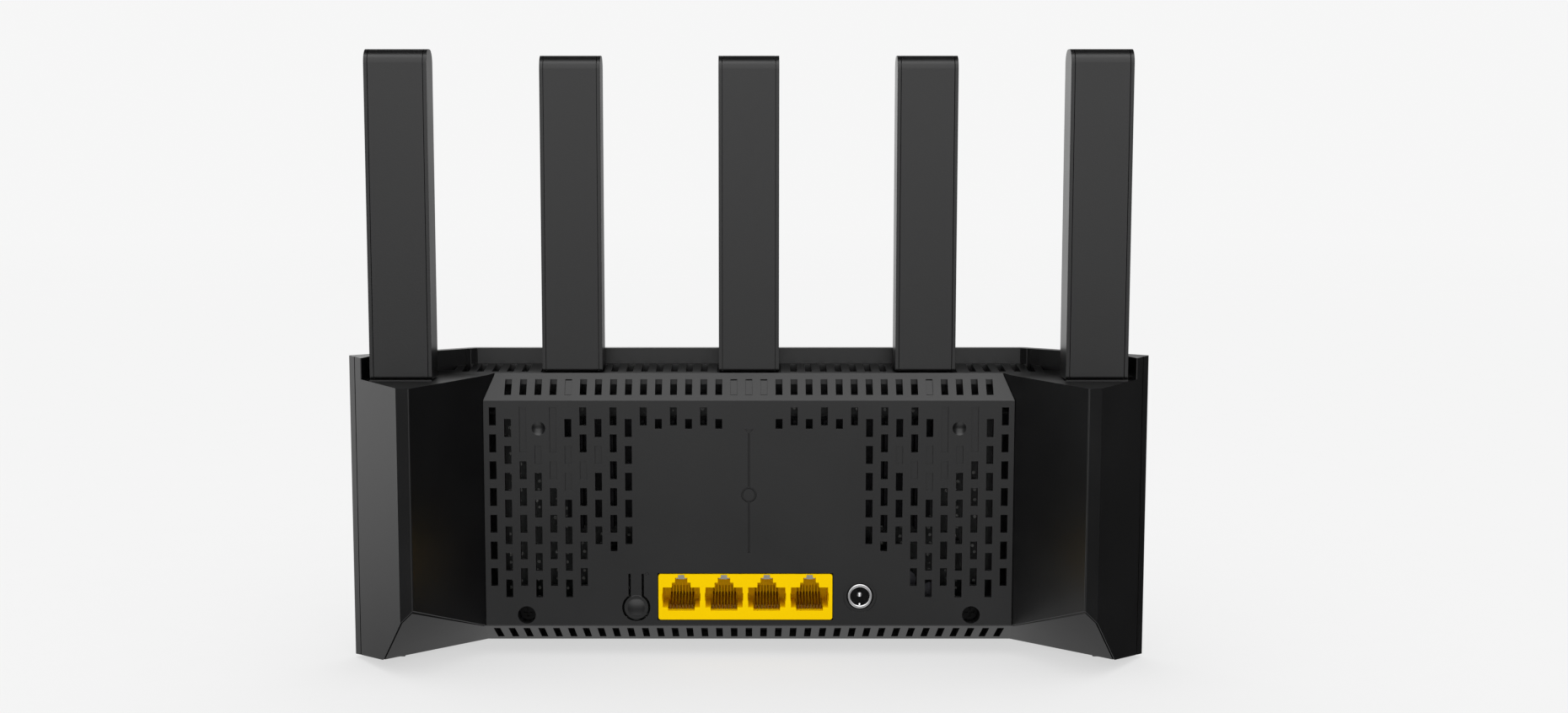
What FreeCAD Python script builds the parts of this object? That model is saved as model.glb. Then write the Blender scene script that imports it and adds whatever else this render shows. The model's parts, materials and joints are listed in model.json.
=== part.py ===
"""Upright wireless router with five folding antennas, built from separate parts.

The front faces -Y and the sockets face +Y. The origin is on the table, under the
middle of the router, with +Z up. All sizes are in millimetres.
"""
import FreeCAD
import Part
import math
import os

V = FreeCAD.Vector

# ---- Driving dimensions: the housing -------------------------------------------------
FRONT_Y = -29.0            # flat middle of the front panel
REAR_Y = -4.0              # slotted rear face, between the two wings
RIDGE_Y = 29.0             # rearmost line of each wing
FRONT_FLAT_HALF = 92.0     # half width of the front's flat middle
SIDE_X = 128.9             # widest line, where the front meets the wing's outer face
SIDE_Y = -3.4
RIDGE_OUT_X = 108.3
RIDGE_OUT_Y = 27.5
RIDGE_IN_X = 103.9
BOX_HALF = 86.2            # half width of the slotted rear face
BASE_Z = 1.0               # underside of the housing, on top of the feet
FACE_LOW_Z = 10.3          # bottom edge of the rear face
FACE_HIGH_Z = 84.4         # top edge of the rear face
CHAMFER_Y = -10.1          # top edge of the slanted strip above the rear face
CHAMFER_Z = 92.7
BAND_Y = -22.2             # where the slotted band under the rear face meets the base
BAND_HALF = 87.9
SHELF_Z = 92.4             # the wings' top surface, which the outer antennas stand on
LIP_Z = 99.2               # top of the front panel's lip
GRILLE_FRONT_Z = 94.1      # the top grille rises towards the front
GRILLE_HALF = 96.6
NOTCH_Y = 4.8              # where the lip ends on each side
SEAM_Y = 0.8               # parting line between the front panel and the wing covers
FRONT_T = 3.2
WALL = 2.2
LIP_WALL = 3.0
BOTTOM_RISE = 2.0          # height of the bottom cover's skin, measured upright
SEAM = 0.3                 # open gap along a parting line
RIM = 0.3                  # thin wall rim round the bottom cover
RIM_GAP = 0.6              # dark groove between that rim and the bottom cover
FRONT_BEND_R = 3.0         # rounding of the housing's upright edges
SIDE_R = 0.8
RIDGE_OUT_R = 0.7
RIDGE_IN_R = 0.5
WING_TIP = V(115.5, 15.0, 4.0)      # lowest rear corner of each wing
WING_HEEL = V(RIDGE_IN_X, RIDGE_Y, 23.2)
LIGHT_Z = 30.0             # status light in the front panel
LIGHT_HALF = 7.0
LIGHT_H = 1.6
STANDOFFS = [(74.0, 16.0), (74.0, 78.0)]
STANDOFF_R = 3.2
PILOT_R = 1.2
BOSS_R = 4.2
WELL_FLOOR_Y = REAR_Y - 6.0
BOSS_Y = REAR_Y - 8.5
# Rubber strips: plan centre, half length, half width, turn, and height of the top.
FEET = [(68.0, -27.0, 14.0, 0.9, 0.0, 1.6), (117.0, -4.6, 4.4, 1.3, 0.0, 2.6)]

# ---- Driving dimensions: vents -------------------------------------------------------
PITCH = 4.88               # column pitch of every vent
SLOT_W = 2.2
SLOT_H = 5.9
SLOT_SHORT = 3.2
ROW_PITCH = 8.82
ROW_TOP_Z = 82.2
ROW_SHIFT = 3.8            # even columns start this much lower
BLIND_DEPTH = 0.45
# Open and blind slots of the rear face, by column counted from the middle. A column's
# slots start high (0) or one shift lower (1). Rows are counted from the top.
VENTS = {
    17: (0, [0, 1, 2, 3, 4, 5, 6], []),
    16: (1, [0, 1, 2, 3, 4, 5, 6], []),
    15: (0, [2, 3, 4, 5, 6], []),
    14: (1, [2, 3, 4, 5, 6], [1]),
    13: (0, [3, 4, 5, 6], [2]),
    12: (1, [0, 3, 4, 5, 6], [1, 2]),
    11: (0, [0, 1, 3, 4, 5, 6], [2]),
    10: (1, [0, 2, 3, 4], [1]),
    9: (0, [0, 1, 2, 3, 4], []),
    8: (1, [0, 1, 2, 3, 4], []),
    7: (0, [0], []),
    5: (0, [0], []),
    3: (0, [0], []),
}
SHORT_VENTS = [(6, 1, 0), (4, 1, 0), (2, 1, 0), (9, 0, 5)]   # column, start, row
TALL_BLIND = [15, 13]
TALL_BLIND_LOW_Z = 67.5
CHAMFER_COLUMNS = 16
CHAMFER_BLIND = [0, 1, 12]
CHAMFER_SLOT_Z = (86.1, 90.8)
BAND_COLUMNS = 17
BAND_SLOT_Z = (2.6, 8.4)
GRILLE_SLOT_Y = (-24.6, -12.4)

# ---- Driving dimensions: antennas ----------------------------------------------------
ANT_W = 19.6
ANT_T = 11.5
ANT_LOW_Z = 92.9
ANT_HIGH_Z = 195.2         # top of the three inner antennas
OUTER_TALLER = 1.0         # the outer two are a little longer
ANT_WALL = 1.4
ANT_COVER_W = 17.4
ANT_COVER_T = 1.0
ANT_SEAM = 0.2
ANT_TOP_R = 4.4
ANT_HEEL_R = 1.0
ANT_HOLLOW_TOP = 5.0       # solid tip, measured down from the top
PIN_FROM_REAR = 2.15       # hinge pin, in from the antenna's rear face
PIN_FROM_LOW = 3.5         # hinge pin, up from the antenna's foot
PIN_R = 0.6
PIN_HOLE_R = 0.65
PIN_LENGTH = 18.2
KNUCKLE_W = 12.0
KNUCKLE_R = 1.3
POST_NEAR = 4.3            # hinge post, forward of the pin
POST_FAR = 6.6
POCKET_DEPTH = 0.4         # room in the antenna's cover for the hinge's eye
POCKET_H = 6.0
BOARD_W = 13.0             # radiator board inside an antenna
BOARD_T = 0.8
BOARD_LOW = 12.0
BOARD_HIGH = 7.0
RIB_LOW = 50.0             # rib that carries the board
RIB_H = 3.0
FOOT_RIB_GAP = 0.15        # low rib on the shelf behind each outer antenna's foot
FOOT_RIB_T = 0.4
FOOT_RIB_H = 0.45
# name, centre x, rear face y
ANTENNAS = [
    ("antenna_1", 109.75, 9.5),
    ("antenna_2", 57.6, -12.0),
    ("antenna_3", 0.0, -12.0),
    ("antenna_4", -57.6, -12.0),
    ("antenna_5", -109.75, 9.5),
]

# ---- Driving dimensions: sockets, button, board --------------------------------------
PORT_PITCH = 13.97
PORT_MID_X = 1.14
PORT_BLOCK_W = 56.8
PORT_LOW_Z = 12.2
PORT_HIGH_Z = 27.35
PORT_DEPTH = 13.0
PORT_EDGE_R = 0.8
PORT_FRONT_Y = REAR_Y + 0.3
PORT_BACK_Y = PORT_FRONT_Y - PORT_DEPTH
# One port's stepped opening: half width, low and high of each step.
PORT_STEPS = [
    (6.05, 16.3, 22.9),
    (6.25, 18.4, 21.0),
    (4.35, 15.2, 16.4),
    (3.05, 22.8, 24.5),
    (2.0, 24.4, 26.1),
]
PORT_FLOOR_Z = 16.3
WELL_LOW_Z = 13.5          # hollow under the sprung contacts
WELL_FRONT = 3.6           # where that hollow starts, in from the port's front
COMB_DEPTH = 1.6           # slots in the port's rear wall that the contacts end in
COMB_HIGH_Z = 20.7
CONTACT_PITCH = 1.02
CONTACT_W = 0.46
CONTACT_T = 0.3
CONTACT_RISE = 2.0
LATCH_HALF = 1.7
LATCH_Z = 25.75
LATCH_T = 0.35
TAB_HALF = 1.0
TAB_TOP_Z = 27.1
TAB_T = 0.12
JACK_X = -36.3
JACK_Z = 19.8
JACK_BODY_HALF = 4.8
JACK_RING_R = 4.07
JACK_BORE_R = 3.05
JACK_PIN_R = 0.95
JACK_HOLE_R = 4.35
JACK_RECESS_R = 5.4
JACK_RECESS_DEPTH = 0.5
JACK_LENGTH = 12.0
JACK_SPRING_R = 0.5
BUTTON_X = 36.8
BUTTON_Z = 16.2
BUTTON_HINGE_Z = 27.4
BUTTON_PAD_R = 3.95
BUTTON_PAD_T = 1.5
BUTTON_BAR_W = 3.7
BUTTON_BAR_T = 1.3
BUTTON_GAP = 0.65
BUTTON_SUNK = 0.1          # pad's flat rim, in from the rear face
BUTTON_DOME_R = 3.0
BUTTON_DOME_H = 0.5
BUTTON_STEM_R = 1.5
BUTTON_HINGE_Y = REAR_Y - BUTTON_SUNK - BUTTON_PAD_T + BUTTON_BAR_T / 2
HINGE_SEAT_GAP = 0.07
GUIDE_W = 0.35             # two small ribs beside the pad
GUIDE_GAP = 0.3
PCB_REAR_Y = -20.5
PCB_T = 1.6
PCB_HALF = 80.0
PCB_LOW_Z = 8.0
PCB_HIGH_Z = 84.0
SCREW_X = 72.6
SCREW_Z = 13.7
SCREW_WELL_R = 2.9
DIMPLE_X = 68.1
DIMPLE_Z = 75.3
LINE_HALF = 0.3            # fine line and circle in the middle of the rear face
LINE_LOW_Z = 34.4
LINE_HIGH_Z = 73.7
LINE_DEPTH = 1.0
MARK_Z = 53.6
MARK_R = 2.5
ARROW_HALF = 1.4
DOT_X = 33.2               # tiny moulded ring above the push lever
DOT_Z = 27.3
DOT_R = 0.55
CONNECTOR_Z = 80.5         # cable connectors on the board
CONNECTOR_T = 1.6
CONNECTOR_HALF = 1.5
CONNECTOR_REACH = 66.0
CABLE_R = 0.65
CABLE_BEND = 4.0
SWITCH_HALF = 3.0
SWITCH_BODY_T = 3.4
SWITCH_CAP_R = 1.6
SWITCH_TOP_Y = PCB_REAR_Y + SWITCH_BODY_T + 1.1
CHIP_HALF = 9.0
CHIP_Z = (50.0, 68.0)
CHIP_T = 1.5
THERMAL_PAD_T = 1.0
SINK_HALF = 60.0
SINK_Z = (41.0, 77.0)
SINK_PLATE_T = 2.0
FIN_T = 1.2
FIN_H = 8.0
FIN_PITCH = 10
CAN_X = (-46.0, 0.0, 46.0)
CAN_HALF = 15.0
CAN_Z = (44.0, 70.0)
CAN_H = 2.4
CAN_SHEET = 0.3
TRANSFORMER_HALF = 6.0
TRANSFORMER_Z = (29.0, 38.0)
TRANSFORMER_T = 5.5
CAPACITOR_R = 3.1
CAPACITOR_H = 9.5
CAPACITORS = [(-52.0, 16.0), (-52.0, 24.0), (-60.0, 20.0)]
INDUCTOR = (-70.0, 28.0, -62.0, 36.0)
INDUCTOR_T = 4.5
SCREW_HEAD_R = 2.6
SCREW_HEAD_H = 1.6
SCREW_CROSS_W = 0.8
SCREW_CROSS_DEPTH = 0.9


# ---- Helpers -------------------------------------------------------------------------
def box(x0, y0, z0, x1, y1, z1):
    """A block between two corners."""
    return Part.makeBox(x1 - x0, y1 - y0, z1 - z0, V(x0, y0, z0))


def cyl(radius, length, base, direction):
    return Part.makeCylinder(radius, length, base, direction)


def upright(points, low, high):
    """A prism on a plan outline of (x, y) points."""
    corners = [V(x, y, low) for x, y in points]
    return Part.Face(Part.makePolygon(corners + corners[:1])).extrude(V(0, 0, high - low))


def sideways(points, x0, x1):
    """A prism along X on an outline of (y, z) points."""
    corners = [V(x0, y, z) for y, z in points]
    return Part.Face(Part.makePolygon(corners + corners[:1])).extrude(V(x1 - x0, 0, 0))


def rearward(points, y0, y1):
    """A prism along Y on an outline of (x, z) points."""
    corners = [V(x, y0, z) for x, z in points]
    return Part.Face(Part.makePolygon(corners + corners[:1])).extrude(V(0, y1 - y0, 0))


def mirror(shape):
    return shape.mirror(V(0, 0, 0), V(1, 0, 0))


def both(shape):
    """The shape and its mirror image about the middle plane."""
    return Part.makeCompound([shape, mirror(shape)])


def fuse(shapes):
    result = shapes[0].multiFuse(shapes[1:]) if len(shapes) > 1 else shapes[0]
    return result.removeSplitter()


def solids(shape):
    """Only the solid pieces of a boolean result, as one shape."""
    found = [s for s in shape.Solids if s.Volume > 0.01]
    return found[0] if len(found) == 1 else Part.makeCompound(found)


def save(name, shape):
    result = solids(shape)
    result.exportStep("parts/" + name + ".step")
    print(name, len(result.Solids), round(result.Volume / 1000, 3), result.isValid())


def offset_line(a, b, distance):
    """The line a-b moved to its left by a distance."""
    dx, dy = b[0] - a[0], b[1] - a[1]
    length = math.hypot(dx, dy)
    nx, ny = -dy / length * distance, dx / length * distance
    return (a[0] + nx, a[1] + ny), (b[0] + nx, b[1] + ny)


def crossing(line1, line2):
    """Where two plan lines cross."""
    (x1, y1), (x2, y2) = line1
    (x3, y3), (x4, y4) = line2
    d = (x1 - x2) * (y3 - y4) - (y1 - y2) * (x3 - x4)
    a = x1 * y2 - y1 * x2
    b = x3 * y4 - y3 * x4
    return ((a * (x3 - x4) - (x1 - x2) * b) / d, (a * (y3 - y4) - (y1 - y2) * b) / d)


def inset(points, distance):
    """A closed anticlockwise outline moved inward by a distance, with sharp corners."""
    count = len(points)
    lines = [offset_line(points[i], points[(i + 1) % count], distance) for i in range(count)]
    return [crossing(lines[i - 1], lines[i]) for i in range(count)]


# ---- The housing as one hollow body --------------------------------------------------
def housing_outline():
    """Plan outline, anticlockwise as seen from above."""
    right = [
        (FRONT_FLAT_HALF, FRONT_Y),
        (SIDE_X, SIDE_Y),
        (RIDGE_OUT_X, RIDGE_OUT_Y),
        (RIDGE_IN_X, RIDGE_Y),
        (BOX_HALF, REAR_Y),
    ]
    return right + [(-x, y) for x, y in reversed(right)]


def box_half_at(y):
    """Half width between the wings' inner faces, carried on to any depth."""
    return BOX_HALF + (RIDGE_IN_X - BOX_HALF) / (RIDGE_Y - REAR_Y) * (y - REAR_Y)


def outer_face_at(y):
    """Half width of the wings' outer faces at any depth."""
    return SIDE_X + (RIDGE_OUT_X - SIDE_X) / (RIDGE_OUT_Y - SIDE_Y) * (y - SIDE_Y)


def below_band():
    """Everything below the slotted band, carried on a little past the rear face."""
    past = 8.0
    slope = (FACE_LOW_Z - BASE_Z) / (REAR_Y - BAND_Y)
    flare = (BAND_HALF - BOX_HALF) / (REAR_Y - BAND_Y)
    half = BOX_HALF - past * flare
    corners = [
        V(-BAND_HALF, BAND_Y, BASE_Z),
        V(BAND_HALF, BAND_Y, BASE_Z),
        V(half, REAR_Y + past, FACE_LOW_Z + past * slope),
        V(-half, REAR_Y + past, FACE_LOW_Z + past * slope),
    ]
    return Part.Face(Part.makePolygon(corners + corners[:1])).extrude(V(0, 0, -60))


def below_facet():
    """Everything below the twisted facet that joins the band to the right wing."""
    past = 1.25
    corner = V(BOX_HALF, REAR_Y, FACE_LOW_Z)
    toe = V(BAND_HALF, BAND_Y, BASE_Z)
    upper = Part.makeLine(corner, corner + (WING_HEEL - corner) * past)
    lower = Part.makeLine(toe, toe + (WING_TIP - toe) * past)
    return Part.makeRuledSurface(upper, lower).extrude(V(0, 0, -60))


def below_sole():
    """Everything below the right wing's flat sole, which rises towards its tip."""
    toe = V(BAND_HALF, BAND_Y, BASE_Z)
    side = V(SIDE_X, SIDE_Y, BASE_Z)
    normal = (side - toe).cross(WING_TIP - toe)
    slab = Part.makeBox(200, 200, 60, V(-100, -100, -60))
    slab.Placement = FreeCAD.Placement(toe, FreeCAD.Rotation(V(0, 0, 1), normal))
    front_line = (SIDE_Y - BAND_Y) / (SIDE_X - BAND_HALF)
    reach = 60.0
    plan = [
        (BAND_HALF, BAND_Y),
        (BAND_HALF + reach, BAND_Y + reach * front_line),
        (200, 80),
        (40, 80),
    ]
    return slab.common(upright(plan, -70, 60))


def below_housing(raised=0.0):
    """Everything below the sloping underside, raised by a height."""
    wing = [below_facet(), below_sole()]
    base = box(-200, -100, -60, 200, 100, BASE_Z)
    pieces = [below_band()] + wing + [mirror(shape) for shape in wing]
    whole = base.multiFuse(pieces)
    return whole.translated(V(0, 0, raised))


def lip_line():
    """Inner wall of the lip, in plan, from the front's right bend to the wing's side."""
    return [
        (FRONT_FLAT_HALF - 1.5, FRONT_Y + LIP_WALL),
        (118.5, -6.4),
        (121.5, -0.5),
        (outer_face_at(NOTCH_Y) - 0.3, NOTCH_Y),
        (outer_face_at(NOTCH_Y) + 20, NOTCH_Y),
    ]


def above_shelf():
    """The space over the top, behind the lip."""
    right = lip_line() + [(150, 60)]
    outline = right + [(-x, y) for x, y in reversed(right)]
    space = upright(outline, SHELF_Z, 140)
    slope = (GRILLE_FRONT_Z - CHAMFER_Z) / (CHAMFER_Y - FRONT_Y - LIP_WALL)
    start = CHAMFER_Y + (CHAMFER_Z - SHELF_Z) / slope
    wedge = sideways(
        [(start, SHELF_Z), (FRONT_Y, SHELF_Z), (FRONT_Y, SHELF_Z + slope * (start - FRONT_Y))],
        -GRILLE_HALF, GRILLE_HALF)
    return space.cut(wedge)


def behind_chamfer(grown=0.0):
    """The space behind the slanted strip, grown inward by a wall."""
    dy = CHAMFER_Y - REAR_Y
    dz = CHAMFER_Z - FACE_HIGH_Z
    length = math.hypot(dy, dz)
    shift_y = -grown * dz / length
    shift_z = grown * dy / length
    reach = 2.0
    low = (REAR_Y + shift_y - reach * dy, FACE_HIGH_Z + shift_z - reach * dz)
    high = (REAR_Y + shift_y + reach * dy, FACE_HIGH_Z + shift_z + reach * dz)
    profile = sideways([low, high, (60, high[1]), (60, low[1])], -130, 130)
    front, back = -20.0, 20.0
    plan = [
        (box_half_at(front) + grown, front),
        (box_half_at(back) + grown, back),
        (-box_half_at(back) - grown, back),
        (-box_half_at(front) - grown, front),
    ]
    return profile.common(upright(plan, 60, 140))


def rounded_prism():
    """The housing's plan outline pulled up, with its upright edges rounded."""
    body = upright(housing_outline(), 0, LIP_Z)
    corners = [
        (FRONT_FLAT_HALF, FRONT_Y, FRONT_BEND_R),
        (SIDE_X, SIDE_Y, SIDE_R),
        (RIDGE_OUT_X, RIDGE_OUT_Y, RIDGE_OUT_R),
        (RIDGE_IN_X, RIDGE_Y, RIDGE_IN_R),
    ]
    for x, y, radius in corners:
        edges = [e for e in body.Edges if e.BoundBox.ZLength > 1
                 and abs(abs(e.BoundBox.Center.x) - x) < 0.01
                 and abs(e.BoundBox.Center.y - y) < 0.01]
        body = body.makeFillet(radius, edges)
    return body


def housing_body():
    """The outside of the housing, solid."""
    body = rounded_prism()
    return body.cut(below_housing()).cut(above_shelf()).cut(behind_chamfer())


def housing_cavity():
    """The space inside the housing."""
    space = upright(inset(housing_outline(), WALL), -10, SHELF_Z - WALL)
    return space.cut(below_housing(BOTTOM_RISE)).cut(behind_chamfer(WALL))


# ---- Vents ---------------------------------------------------------------------------
def slot_top(start, row):
    return ROW_TOP_Z - ROW_SHIFT * start - ROW_PITCH * row


def slot(x, top, height, low_y, high_y):
    return box(x - SLOT_W / 2, low_y, top - height, x + SLOT_W / 2, high_y, top)


def rear_slots():
    """Cutters of the rear face's slots, both sides."""
    inner, outer, blind = REAR_Y - 4, REAR_Y + 1, REAR_Y - BLIND_DEPTH
    cuts = []
    for column, (start, rows, blind_rows) in VENTS.items():
        x = column * PITCH
        cuts += [slot(x, slot_top(start, row), SLOT_H, inner, outer) for row in rows]
        cuts += [slot(x, slot_top(start, row), SLOT_H, blind, outer) for row in blind_rows]
    for column, start, row in SHORT_VENTS:
        cuts.append(slot(column * PITCH, slot_top(start, row), SLOT_SHORT, inner, outer))
    for column in TALL_BLIND:
        height = ROW_TOP_Z - TALL_BLIND_LOW_Z
        cuts.append(slot(column * PITCH, ROW_TOP_Z, height, blind, outer))
    return cuts + [mirror(cut) for cut in cuts]


def chamfer_slots():
    """Cutters of the slanted strip's slots."""
    low, high = CHAMFER_SLOT_Z
    cuts = []
    for column in range(-CHAMFER_COLUMNS, CHAMFER_COLUMNS + 1):
        x = column * PITCH
        cut = box(x - SLOT_W / 2, CHAMFER_Y - 3, low, x + SLOT_W / 2, REAR_Y + 1, high)
        if abs(column) in CHAMFER_BLIND:
            cut = cut.common(behind_chamfer(BLIND_DEPTH))
        cuts.append(cut)
    return cuts


def band_slots():
    """Cutters of the slots in the band under the rear face."""
    low, high = BAND_SLOT_Z
    columns = range(-BAND_COLUMNS, BAND_COLUMNS + 1)
    return [box(c * PITCH - SLOT_W / 2, -40, low, c * PITCH + SLOT_W / 2, 0, high)
            for c in columns]


def under_antenna(x):
    return any(abs(x - middle) < ANT_W / 2 + 2.2 for name, middle, rear in ANTENNAS)


def grille_slots():
    """Cutters of the top grille's slots, which stop beside each antenna."""
    front, back = GRILLE_SLOT_Y
    last = int(GRILLE_HALF / PITCH)
    places = [c * PITCH for c in range(-last, last + 1)]
    return [box(x - SLOT_W / 2, front, 80, x + SLOT_W / 2, back, 100)
            for x in places if not under_antenna(x)]


# ---- Housing pieces ------------------------------------------------------------------
def front_region():
    """Everything within the front panel's thickness of the front, in plan."""
    right = [
        (FRONT_FLAT_HALF, FRONT_Y),
        (SIDE_X, SIDE_Y),
        (outer_face_at(SEAM_Y), SEAM_Y),
    ]
    sweep = offset_line(right[0], right[1], FRONT_T)
    flat = ((-200, FRONT_Y + FRONT_T), (200, FRONT_Y + FRONT_T))
    outer = offset_line(right[1], (RIDGE_OUT_X, RIDGE_OUT_Y), FRONT_T)
    seam = offset_line(right[1], (RIDGE_OUT_X, RIDGE_OUT_Y), 0)
    inward = (outer[0][0] - seam[0][0], outer[0][1] - seam[0][1])
    turn = (right[2][0] + inward[0], right[2][1] + inward[1])
    meet = crossing(sweep, (turn, (turn[0] - inward[1], turn[1] + inward[0])))
    right += [turn, meet, crossing(sweep, flat)]
    return upright(right + [(-x, y) for x, y in reversed(right)], 0, 120)


def seam_groove():
    """Cutter of the grooves between the front panel and the wing covers."""
    x = outer_face_at(SEAM_Y)
    groove = box(-0.5, -SEAM, 0, 0.5, SEAM, 120)
    groove.rotate(V(0, 0, 0), V(0, 0, 1), math.degrees(
        math.atan2(SIDE_X - RIDGE_OUT_X, RIDGE_OUT_Y - SIDE_Y)))
    groove.translate(V(x, SEAM_Y, 0))
    return both(groove)


def screw_wells():
    """Cutter of the two deep screw wells in the rear cover."""
    well = cyl(SCREW_WELL_R, REAR_Y + 1 - WELL_FLOOR_Y, V(SCREW_X, WELL_FLOOR_Y, SCREW_Z),
               V(0, 1, 0))
    return both(well)


def screw_bosses():
    boss = cyl(BOSS_R, REAR_Y - 1 - BOSS_Y, V(SCREW_X, BOSS_Y, SCREW_Z), V(0, 1, 0))
    return both(boss)


def screw_holes():
    hole = cyl(PILOT_R + 0.3, 12, V(SCREW_X, BOSS_Y - 1, SCREW_Z), V(0, 1, 0))
    return both(hole)


def button_hole():
    """Cutter of the slits and ring round the push lever."""
    half = BUTTON_BAR_W / 2 + BUTTON_GAP
    bar = box(BUTTON_X - half, REAR_Y - 4, BUTTON_Z, BUTTON_X + half, REAR_Y + 1,
              BUTTON_HINGE_Z)
    ring_r = BUTTON_PAD_R + BUTTON_GAP
    ring = cyl(ring_r, 5, V(BUTTON_X, REAR_Y - 4, BUTTON_Z), V(0, 1, 0))
    seat = cyl(BUTTON_BAR_T / 2 + HINGE_SEAT_GAP, 2 * half,
               V(BUTTON_X - half, BUTTON_HINGE_Y, BUTTON_HINGE_Z), V(1, 0, 0))
    guides = []
    for turn in (-45, -135):
        guide = box(BUTTON_PAD_R + GUIDE_GAP, REAR_Y - 4, -GUIDE_W / 2,
                    ring_r + 1, REAR_Y + 1, GUIDE_W / 2)
        guide.rotate(V(0, 0, 0), V(0, -1, 0), turn)
        guide.translate(V(BUTTON_X, 0, BUTTON_Z))
        guides.append(guide)
    return bar.multiFuse([ring, seat]).cut(Part.makeCompound(guides))


def port_block_hole():
    half = PORT_BLOCK_W / 2 + 0.25
    middle = PORT_MID_X
    return box(middle - half, REAR_Y - 4, PORT_LOW_Z - 0.25, middle + half, REAR_Y + 1,
               PORT_HIGH_Z + 0.25)


def jack_hole():
    """Cutter of the power socket's hole and the shallow ring round it."""
    hole = cyl(JACK_HOLE_R, 6, V(JACK_X, REAR_Y - 4, JACK_Z), V(0, 1, 0))
    ring = cyl(JACK_RECESS_R, 2, V(JACK_X, REAR_Y - JACK_RECESS_DEPTH, JACK_Z), V(0, 1, 0))
    return hole.fuse(ring)


def ring_groove(x, z, outer, inner, depth):
    """Cutter of a round groove in the rear face."""
    place, along = V(x, REAR_Y - depth, z), V(0, 1, 0)
    return cyl(outer, 2, place, along).cut(cyl(inner, 2, place, along))


def rear_marks():
    """Cutters of the dimples and of the fine lines and rings in the rear face."""
    ball = Part.makeSphere(3.2, V(DIMPLE_X, REAR_Y + 2.3, DIMPLE_Z))
    line = box(-LINE_HALF, REAR_Y - LINE_DEPTH, LINE_LOW_Z, LINE_HALF, REAR_Y + 1, LINE_HIGH_Z)
    inner = MARK_R - 2 * LINE_HALF
    gap = cyl(inner, 4, V(0, REAR_Y - 2, MARK_Z), V(0, 1, 0))
    arrow = rearward([(-ARROW_HALF, LINE_HIGH_Z + ARROW_HALF), (0, LINE_HIGH_Z),
                      (ARROW_HALF, LINE_HIGH_Z + ARROW_HALF)], REAR_Y - BLIND_DEPTH, REAR_Y + 1)
    return [
        ball, mirror(ball), line.cut(gap), arrow,
        ring_groove(0, MARK_Z, MARK_R, inner, LINE_DEPTH),
        ring_groove(DOT_X, DOT_Z, DOT_R, DOT_R / 2, BLIND_DEPTH),
    ]


def make_rear_cover(walls, region):
    cover = walls.common(region).fuse(screw_bosses().cut(below_housing(BOTTOM_RISE)))
    cuts = rear_slots() + chamfer_slots() + rear_marks()
    cuts += [screw_wells(), screw_holes(), button_hole(), port_block_hole(), jack_hole()]
    return cover.cut(Part.makeCompound(cuts))


def make_bottom_cover(body):
    outline = upright(inset(housing_outline(), RIM + RIM_GAP), -10, 60)
    cover = body.common(outline).common(below_housing(BOTTOM_RISE))
    return cover.cut(Part.makeCompound(band_slots() + [screw_wells()])).cut(make_feet())


def make_front_panel(panel):
    posts = []
    length = PCB_REAR_Y - PCB_T - (FRONT_Y + WALL)
    for x, z in STANDOFFS:
        post = cyl(STANDOFF_R, length + 0.5, V(x, FRONT_Y + WALL - 0.5, z), V(0, 1, 0))
        pilot = cyl(PILOT_R, length, V(x, FRONT_Y + WALL + 1, z), V(0, 1, 0))
        posts.append(both(post.cut(pilot)))
    return panel.multiFuse(posts).cut(light_window())


def light_window():
    """The status light's rounded slot through the front panel."""
    half, r = LIGHT_HALF - LIGHT_H / 2, LIGHT_H / 2
    bar = box(-half, FRONT_Y, LIGHT_Z - r, half, FRONT_Y + WALL + 1, LIGHT_Z + r)
    end = cyl(r, WALL + 1, V(half, FRONT_Y, LIGHT_Z), V(0, 1, 0))
    return fuse([bar, end, mirror(end)])


def foot(x, y, half_length, half_width, turn, top):
    strip = box(-half_length, -half_width, 0, half_length, half_width, top)
    strip.rotate(V(0, 0, 0), V(0, 0, 1), turn)
    strip.translate(V(x, y, 0))
    return strip


def make_feet():
    """Rubber strips under the front and under each wing, set in the bottom cover."""
    return both(Part.makeCompound([foot(*place) for place in FEET]))


def foot_ribs():
    """Low ribs on the shelves, along the rear of the outer antennas' feet."""
    ribs = []
    for name, x, rear in ANTENNAS:
        if rear > 0:
            near = rear + FOOT_RIB_GAP
            ribs.append(box(x - ANT_W / 2, near, SHELF_Z - 0.2,
                            x + ANT_W / 2, near + FOOT_RIB_T, SHELF_Z + FOOT_RIB_H))
    return ribs


def antenna_seats():
    """Cutters of the flat seats that the inner antennas stand over."""
    seats = []
    for name, x, rear in ANTENNAS:
        if rear < 0:
            seats.append(box(x - ANT_W / 2 - 0.6, rear - ANT_T - 0.6, SHELF_Z,
                             x + ANT_W / 2 + 0.6, rear + 0.8, SHELF_Z + 5))
    return Part.makeCompound(seats)


def rear_region(inward):
    """The rear cover's place in plan, between the wings, moved in from them."""
    front, back = box_half_at(CHAMFER_Y) - inward, box_half_at(REAR_Y) - inward
    past = REAR_Y + 0.01
    return upright([(front, CHAMFER_Y), (back, past), (-back, past), (-front, CHAMFER_Y)],
                   -10, 130)


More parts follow.
